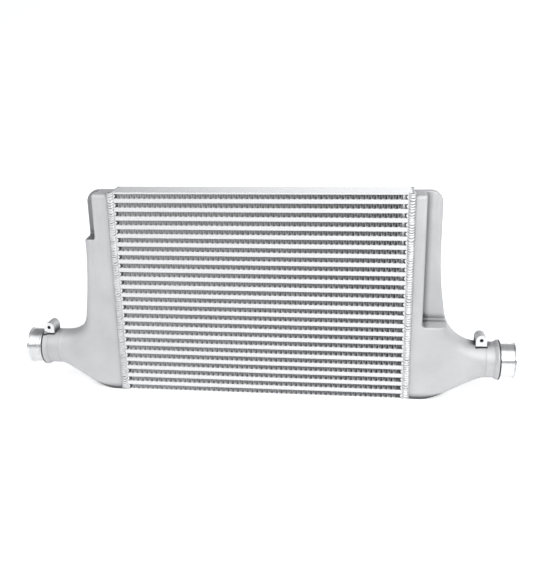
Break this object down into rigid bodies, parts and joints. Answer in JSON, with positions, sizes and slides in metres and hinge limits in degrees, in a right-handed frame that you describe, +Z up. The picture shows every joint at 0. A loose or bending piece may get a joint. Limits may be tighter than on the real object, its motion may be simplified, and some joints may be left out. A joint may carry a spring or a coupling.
{
  "type": "intercooler",
  "caption": "Bar-and-plate intercooler core between two cast end tanks, with a side hose spigot and a tapped ear on each tank.",
  "frame": {"origin": "middle of the footprint, on the underside of the core; midway along the core and midway through its depth", "axes": "+Z up, -Y the face that the cooling air meets and that carries the tank recesses, +X along the core towards the tank with the longer recess"},
  "size_m": [0.9395, 0.075, 0.3916],
  "materials": {
    "cast_aluminium": "sand-cast, lightly blasted, with machined spigots and ear faces",
    "drawn_bar": "bright drawn bar, brazed",
    "rolled_aluminium": "rolled mill finish",
    "fin_foil": "folded foil, dull from the brazing furnace",
    "weld": "as-welded, with fine ripples"
  },
  "bodies": {
    "root": {"left_end_tank": "cast_aluminium", "right_end_tank": "cast_aluminium", "left_weld_bead": "weld", "right_weld_bead": "weld", "top_plate": "rolled_aluminium", "bottom_plate": "rolled_aluminium", "parting_sheets": "rolled_aluminium", "front_bars": "drawn_bar", "rear_bars": "drawn_bar", "left_end_bars": "drawn_bar", "right_end_bars": "drawn_bar", "cooling_fin_01": "fin_foil", "cooling_fin_02": "fin_foil", "cooling_fin_03": "fin_foil", "cooling_fin_04": "fin_foil", "cooling_fin_05": "fin_foil", "cooling_fin_06": "fin_foil", "cooling_fin_07": "fin_foil", "cooling_fin_08": "fin_foil", "cooling_fin_09": "fin_foil", "cooling_fin_10": "fin_foil", "cooling_fin_11": "fin_foil", "cooling_fin_12": "fin_foil", "cooling_fin_13": "fin_foil", "cooling_fin_14": "fin_foil", "cooling_fin_15": "fin_foil", "cooling_fin_16": "fin_foil", "cooling_fin_17": "fin_foil", "cooling_fin_18": "fin_foil", "cooling_fin_19": "fin_foil", "cooling_fin_20": "fin_foil", "cooling_fin_21": "fin_foil", "cooling_fin_22": "fin_foil", "cooling_fin_23": "fin_foil", "cooling_fin_24": "fin_foil", "turbulator_01": "fin_foil", "turbulator_02": "fin_foil", "turbulator_03": "fin_foil", "turbulator_04": "fin_foil", "turbulator_05": "fin_foil", "turbulator_06": "fin_foil", "turbulator_07": "fin_foil", "turbulator_08": "fin_foil", "turbulator_09": "fin_foil", "turbulator_10": "fin_foil", "turbulator_11": "fin_foil", "turbulator_12": "fin_foil", "turbulator_13": "fin_foil", "turbulator_14": "fin_foil", "turbulator_15": "fin_foil", "turbulator_16": "fin_foil", "turbulator_17": "fin_foil", "turbulator_18": "fin_foil", "turbulator_19": "fin_foil", "turbulator_20": "fin_foil", "turbulator_21": "fin_foil", "turbulator_22": "fin_foil", "turbulator_23": "fin_foil"}
  },
  "joints": []
}
